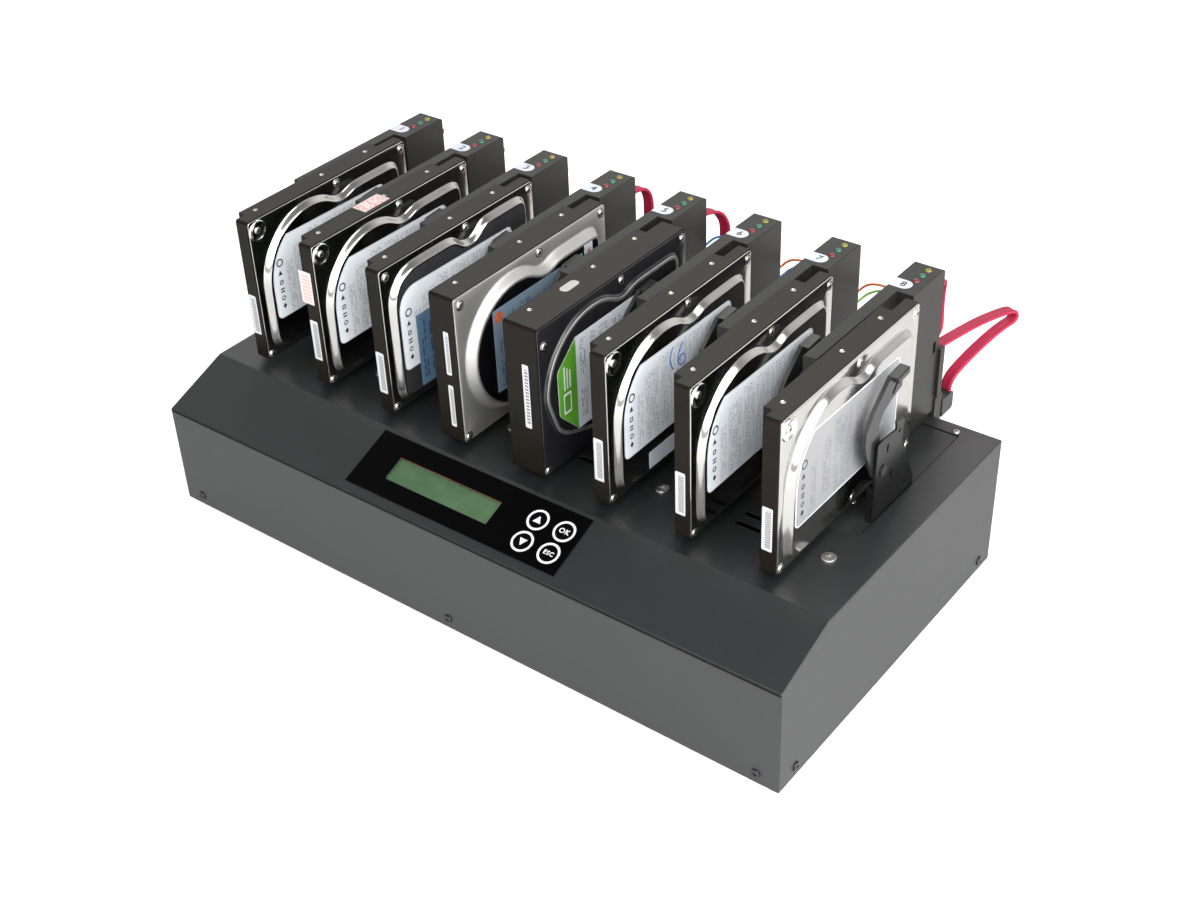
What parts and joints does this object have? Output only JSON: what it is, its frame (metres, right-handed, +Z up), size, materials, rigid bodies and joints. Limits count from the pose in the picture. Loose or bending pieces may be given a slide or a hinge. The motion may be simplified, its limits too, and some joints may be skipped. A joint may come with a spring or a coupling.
{
  "type": "hard drive duplicator",
  "caption": "Desktop hard drive duplicator: low black steel case with a sloped panel of display and keys, and a row of stations holding upright drives against towers, each with an eject lever.",
  "frame": {"origin": "bottom centre of the rigid pieces' box, on the surface under the feet", "axes": "+X to the operator's right along the row of drives, +Y to the back, +Z up"},
  "size_m": [0.476, 0.3343, 0.199],
  "materials": {
    "case_paint": "fine matt powder coat",
    "pan_paint": "fine matt powder coat",
    "tower_plastic": "satin moulding",
    "base_plastic": "matt moulding",
    "lever_plastic": "matt moulding",
    "bracket_steel": "black satin",
    "pin_steel": "turned",
    "overlay_print": "glossy printed plate",
    "key_plastic": "glossy printed keys",
    "window_clear": "clear window",
    "display_green": "green display in a metal bezel",
    "board_green": "lacquered circuit board",
    "heatsink_alloy": "anodised",
    "supply_steel": "plain sheet",
    "fan_plastic": "matt moulding",
    "socket_plastic": "matt moulding",
    "rocker_plastic": "glossy moulding",
    "foot_rubber": "matt",
    "screw_black": "blackened",
    "screw_silver": "zinc plated",
    "drive_cast": "black e-coat",
    "drive_silver": "bare cast and machined",
    "cover_bright": "bright pressed steel with a dark label field",
    "cover_black": "black paint",
    "led_red": "diffused lamp",
    "led_green": "diffused lamp",
    "led_yellow": "diffused lamp",
    "cable_red": "flat red cable",
    "wire_mixed": "thin wires"
  },
  "bodies": {
    "case": {"top_cover": "case_paint", "base_pan": "pan_paint", "rubber_feet": "foot_rubber", "station_bases": "base_plastic", "station_towers": "tower_plastic", "tower_backs": "tower_plastic", "led_boards": "board_green", "leds_red": "led_red", "leds_green": "led_green", "leds_yellow": "led_yellow", "drive_sockets": "socket_plastic", "lever_brackets": "bracket_steel", "pivot_pins": "pin_steel", "control_overlay": "overlay_print", "lcd_glass": "window_clear", "lcd_module": "display_green", "key_board": "board_green", "main_board": "board_green", "board_standoffs": "screw_silver", "board_heatsink": "heatsink_alloy", "power_supply": "supply_steel", "fan_frame": "fan_plastic", "inlet_socket": "socket_plastic", "switch_body": "socket_plastic", "case_screws": "screw_black", "top_screws": "screw_silver", "sata_plugs": "socket_plastic", "sata_ribbons": "cable_red", "link_ribbons": "cable_red", "led_wires": "wire_mixed"},
    "key_up_body": {"key_up": "key_plastic"},
    "key_down_body": {"key_down": "key_plastic"},
    "key_ok_body": {"key_ok": "key_plastic"},
    "key_esc_body": {"key_esc": "key_plastic"},
    "rocker_body": {"power_rocker": "rocker_plastic"},
    "fan_body": {"fan_rotor": "fan_plastic"},
    "drive_1": {"drive_1_casting": "drive_cast", "drive_1_cover": "cover_bright"},
    "lever_1_body": {"lever_1": "lever_plastic"},
    "drive_2": {"drive_2_casting": "drive_cast", "drive_2_cover": "cover_bright"},
    "lever_2_body": {"lever_2": "lever_plastic"},
    "drive_3": {"drive_3_casting": "drive_cast", "drive_3_cover": "cover_bright"},
    "lever_3_body": {"lever_3": "lever_plastic"},
    "drive_4": {"drive_4_casting": "drive_cast", "drive_4_cover": "drive_silver"},
    "lever_4_body": {"lever_4": "lever_plastic"},
    "drive_5": {"drive_5_casting": "drive_cast", "drive_5_cover": "cover_black"},
    "lever_5_body": {"lever_5": "lever_plastic"},
    "drive_6": {"drive_6_casting": "drive_cast", "drive_6_cover": "cover_bright"},
    "lever_6_body": {"lever_6": "lever_plastic"},
    "drive_7": {"drive_7_casting": "drive_cast", "drive_7_cover": "cover_bright"},
    "lever_7_body": {"lever_7": "lever_plastic"},
    "drive_8": {"drive_8_casting": "drive_cast", "drive_8_cover": "cover_bright"},
    "lever_8_body": {"lever_8": "lever_plastic"}
  },
  "joints": [
    {"name": "key_up_press", "type": "slide", "parent": "case", "child": "key_up_body", "axis": [0, 0.3602, -0.9329], "range_m": [0, 0.0005], "stiffness_N_per_m": 1500, "springref_m": -0.0002},
    {"name": "key_down_press", "type": "slide", "parent": "case", "child": "key_down_body", "axis": [0, 0.3602, -0.9329], "range_m": [0, 0.0005], "stiffness_N_per_m": 1500, "springref_m": -0.0002},
    {"name": "key_ok_press", "type": "slide", "parent": "case", "child": "key_ok_body", "axis": [0, 0.3602, -0.9329], "range_m": [0, 0.0005], "stiffness_N_per_m": 1500, "springref_m": -0.0002},
    {"name": "key_esc_press", "type": "slide", "parent": "case", "child": "key_esc_body", "axis": [0, 0.3602, -0.9329], "range_m": [0, 0.0005], "stiffness_N_per_m": 1500, "springref_m": -0.0002},
    {"name": "power_rocker_tip", "type": "hinge", "parent": "case", "child": "rocker_body", "pos_m": [-0.16, 0.1127, 0.031], "axis": [1, 0, 0], "range_deg": [0, 16]},
    {"name": "fan_spin", "type": "hinge", "parent": "case", "child": "fan_body", "pos_m": [-0.07, 0.1077, 0.045], "axis": [0, 1, 0], "continuous": true},
    {"name": "drive_1_pull", "type": "slide", "parent": "case", "child": "drive_1", "axis": [0, -1, 0], "range_m": [0, 0.085]},
    {"name": "lever_1_swing", "type": "hinge", "parent": "case", "child": "lever_1_body", "pos_m": [-0.18473, 0.0097, 0.125], "axis": [1, 0, 0], "range_deg": [0, 65]},
    {"name": "drive_2_pull", "type": "slide", "parent": "case", "child": "drive_2", "axis": [0, -1, 0], "range_m": [0, 0.085]},
    {"name": "lever_2_swing", "type": "hinge", "parent": "case", "child": "lever_2_body", "pos_m": [-0.12837, 0.0097, 0.125], "axis": [1, 0, 0], "range_deg": [0, 65]},
    {"name": "drive_3_pull", "type": "slide", "parent": "case", "child": "drive_3", "axis": [0, -1, 0], "range_m": [0, 0.085]},
    {"name": "lever_3_swing", "type": "hinge", "parent": "case", "child": "lever_3_body", "pos_m": [-0.07203, 0.0097, 0.125], "axis": [1, 0, 0], "range_deg": [0, 65]},
    {"name": "drive_4_pull", "type": "slide", "parent": "case", "child": "drive_4", "axis": [0, -1, 0], "range_m": [0, 0.085]},
    {"name": "lever_4_swing", "type": "hinge", "parent": "case", "child": "lever_4_body", "pos_m": [-0.01568, 0.0097, 0.125], "axis": [1, 0, 0], "range_deg": [0, 65]},
    {"name": "drive_5_pull", "type": "slide", "parent": "case", "child": "drive_5", "axis": [0, -1, 0], "range_m": [0, 0.085]},
    {"name": "lever_5_swing", "type": "hinge", "parent": "case", "child": "lever_5_body", "pos_m": [0.04068, 0.0097, 0.125], "axis": [1, 0, 0], "range_deg": [0, 65]},
    {"name": "drive_6_pull", "type": "slide", "parent": "case", "child": "drive_6", "axis": [0, -1, 0], "range_m": [0, 0.085]},
    {"name": "lever_6_swing", "type": "hinge", "parent": "case", "child": "lever_6_body", "pos_m": [0.09703, 0.0097, 0.125], "axis": [1, 0, 0], "range_deg": [0, 65]},
    {"name": "drive_7_pull", "type": "slide", "parent": "case", "child": "drive_7", "axis": [0, -1, 0], "range_m": [0, 0.085]},
    {"name": "lever_7_swing", "type": "hinge", "parent": "case", "child": "lever_7_body", "pos_m": [0.15338, 0.0097, 0.125], "axis": [1, 0, 0], "range_deg": [0, 65]},
    {"name": "drive_8_pull", "type": "slide", "parent": "case", "child": "drive_8", "axis": [0, -1, 0], "range_m": [0, 0.085]},
    {"name": "lever_8_swing", "type": "hinge", "parent": "case", "child": "lever_8_body", "pos_m": [0.20972, 0.0097, 0.125], "axis": [1, 0, 0], "range_deg": [0, 65]}
  ]
}
